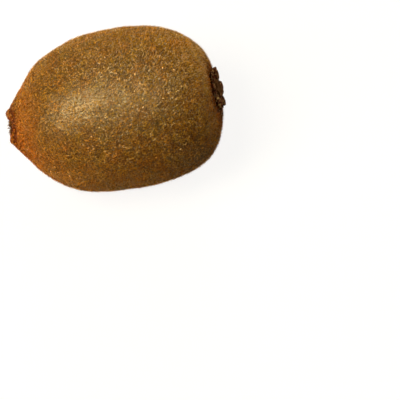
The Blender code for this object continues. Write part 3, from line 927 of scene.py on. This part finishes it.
style_piece = make_styles()
style_finish, tree, shader, place = start_finish("withered_style", roughness=0.7, specular=0.15)
colour = tinted(tree, patches(tree, place, 0.5, 3), STYLE_DARK, STYLE_BROWN)
colour = tinted(tree, ranged(tree, marked(tree, "height"), 0.4, 1.0, 0, 0.6), colour, STYLE_TIP)
tree.links.new(colour, shader.inputs["Base Color"])
roughened(tree, shader, patches(tree, place, 0.2, 3), 0.05)
style_piece.data.materials.append(style_finish)
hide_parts("styles")
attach(style_piece, "root")


# The studio: a pale floor that curves up into a wall, soft panels from the left and round behind the fruit,
# three window panes that show only in the gloss, and a camera that looks down on the fruit from in front.
FLOOR_RADIUS = 2200.0
FLOOR_RINGS = (1.0, 400.0)
FLOOR_COLUMNS = 96
FLOOR_BEND_ROWS = 24
FLOOR_GREY = 0.24
FLOOR_GLOW = 0.84
WALL_RADIUS = 1000.0
WALL_HEIGHT = 4000.0
VIEW_TURN = math.radians(-9.5)
VIEW_RISE = math.radians(66)
VIEW_DISTANCE = 900.0
VIEW_LENS = 254.2
AIM_RIGHT = 26.0
AIM_DOWN = 18.95
LIGHT_DISTANCE = 900.0
LAMP_COLOUR = (1.0, 0.93, 0.75)
PANEL_SIZE = 420.0
PANE_SIZE = 300.0
# name of each lamp, its direction to the camera's right, up and back towards it, and its watts
PANELS = (
    ("key", (-0.43, 0.17, 0.88), 4.25),
    ("left_panel", (-0.7, -0.12, 0.7), 2.3),
    ("near_panel", (-0.92, -0.38, 0.1), 3.7),
    ("far_panel", (0.92, 0.38, 0.1), 3.6),
    ("tent_1", (0.67, 0.67, -0.31), 3.5),
    ("tent_2", (0.0, 0.95, -0.31), 8.6),
    ("tent_3", (-0.67, 0.67, -0.31), 3.7),
    ("tent_4", (-0.95, 0.0, -0.31), 4.3),
    ("tent_5", (-0.67, -0.67, -0.31), 4.7),
    ("tent_low_1", (-0.28, 0.69, -0.67), 2.4),
    ("tent_low_2", (-0.69, 0.28, -0.67), 2.0),
    ("tent_low_3", (-0.69, -0.28, -0.67), 2.0),
    ("tent_low_4", (-0.28, -0.69, -0.67), 2.8),
)
WINDOW_PANES = (
    ("pane_1", (-0.7, -0.02, 0.71), 5.4),
    ("pane_2", (-0.43, 0.15, 0.89), 3.6),
    ("pane_3", (-0.22, 0.3, 0.93), 5.6),
)
SKY_STRENGTH = 0.07


def make_floor():
    """A flat disc whose edge curves up into a wall all round, as a quarter circle, so that no edge shows."""
    turn = np.linspace(0, 2 * math.pi, FLOOR_COLUMNS, endpoint=False)[None, :]
    bend = np.linspace(0, math.pi / 2, FLOOR_BEND_ROWS)
    curved = FLOOR_RADIUS + WALL_RADIUS * np.sin(bend)
    risen = WALL_RADIUS * (1 - np.cos(bend))
    radius = np.concatenate([FLOOR_RINGS, curved, [FLOOR_RADIUS + WALL_RADIUS]])[:, None]
    height = np.concatenate([[0.0, 0.0], risen, [WALL_HEIGHT]])[:, None]
    rings = np.stack([radius * np.cos(turn), radius * np.sin(turn), height + 0 * turn], axis=-1)
    quads, triangles = closed_grid(len(radius), FLOOR_COLUMNS)
    points = np.concatenate([rings.reshape(-1, 3), [[0.0, 0.0, 0.0]]])
    return make_piece("studio_floor", points, quads, triangles[:FLOOR_COLUMNS])


floor = make_floor()
floor_finish, tree, shader, place = start_finish("studio_floor", roughness=0.9, specular=0.0)
shader.inputs["Base Color"].default_value = (FLOOR_GREY, FLOOR_GREY, FLOOR_GREY, 1.0)
shader.inputs["Emission Color"].default_value = (1.0, 1.0, 1.0, 1.0)
shader.inputs["Emission Strength"].default_value = FLOOR_GLOW
floor.data.materials.append(floor_finish)
floor.visible_diffuse = False
floor.visible_glossy = False
floor.visible_shadow = False
floor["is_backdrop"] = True

camera_right = np.array([math.cos(VIEW_TURN), math.sin(VIEW_TURN), 0.0])
camera_back = np.array(
    [
        math.sin(VIEW_TURN) * math.cos(VIEW_RISE),
        -math.cos(VIEW_TURN) * math.cos(VIEW_RISE),
        math.sin(VIEW_RISE),
    ]
)
camera_up = np.cross(camera_back, camera_right)


def aimed(name, data, position, back, up):
    """An object at a position in millimetres that looks away from back, with up at its top."""
    right = np.cross(up, back)
    right /= np.linalg.norm(right)
    thing = bpy.data.objects.new(name, data)
    bpy.context.scene.collection.objects.link(thing)
    turned = np.eye(4)
    turned[:3, 0], turned[:3, 1], turned[:3, 2] = right, np.cross(back, right), back
    turned[:3, 3] = position * MM
    thing.matrix_world = turned.T
    return thing


lens = bpy.data.cameras.new("camera")
lens.lens = VIEW_LENS
lens.sensor_width = 36.0
lens.clip_start = 0.05
lens.clip_end = 20.0
aim = camera_right * AIM_RIGHT - camera_up * AIM_DOWN
bpy.context.scene.camera = aimed("camera", lens, aim + camera_back * VIEW_DISTANCE, camera_back, camera_up)

for light_name, (rightwards, upwards, backwards), power in PANELS + WINDOW_PANES:
    panel = bpy.data.lights.new(light_name, "AREA")
    is_pane = light_name.startswith("pane")
    panel.size = (PANE_SIZE if is_pane else PANEL_SIZE) * MM
    panel.energy = power
    panel.color = LAMP_COLOUR
    away = camera_right * rightwards + camera_up * upwards + camera_back * backwards
    away /= np.linalg.norm(away)
    lamp = aimed(light_name, panel, away * LIGHT_DISTANCE, away, camera_up)
    lamp.visible_diffuse = not is_pane
    lamp.visible_glossy = is_pane or light_name == "key"

sky = bpy.data.worlds.new("studio")
bpy.context.scene.world = sky
sky.use_nodes = True
sky.node_tree.nodes["Background"].inputs["Color"].default_value = (*LAMP_COLOUR, 1.0)
sky.node_tree.nodes["Background"].inputs["Strength"].default_value = SKY_STRENGTH
bpy.context.scene.view_settings.view_transform = "Standard"

low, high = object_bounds()
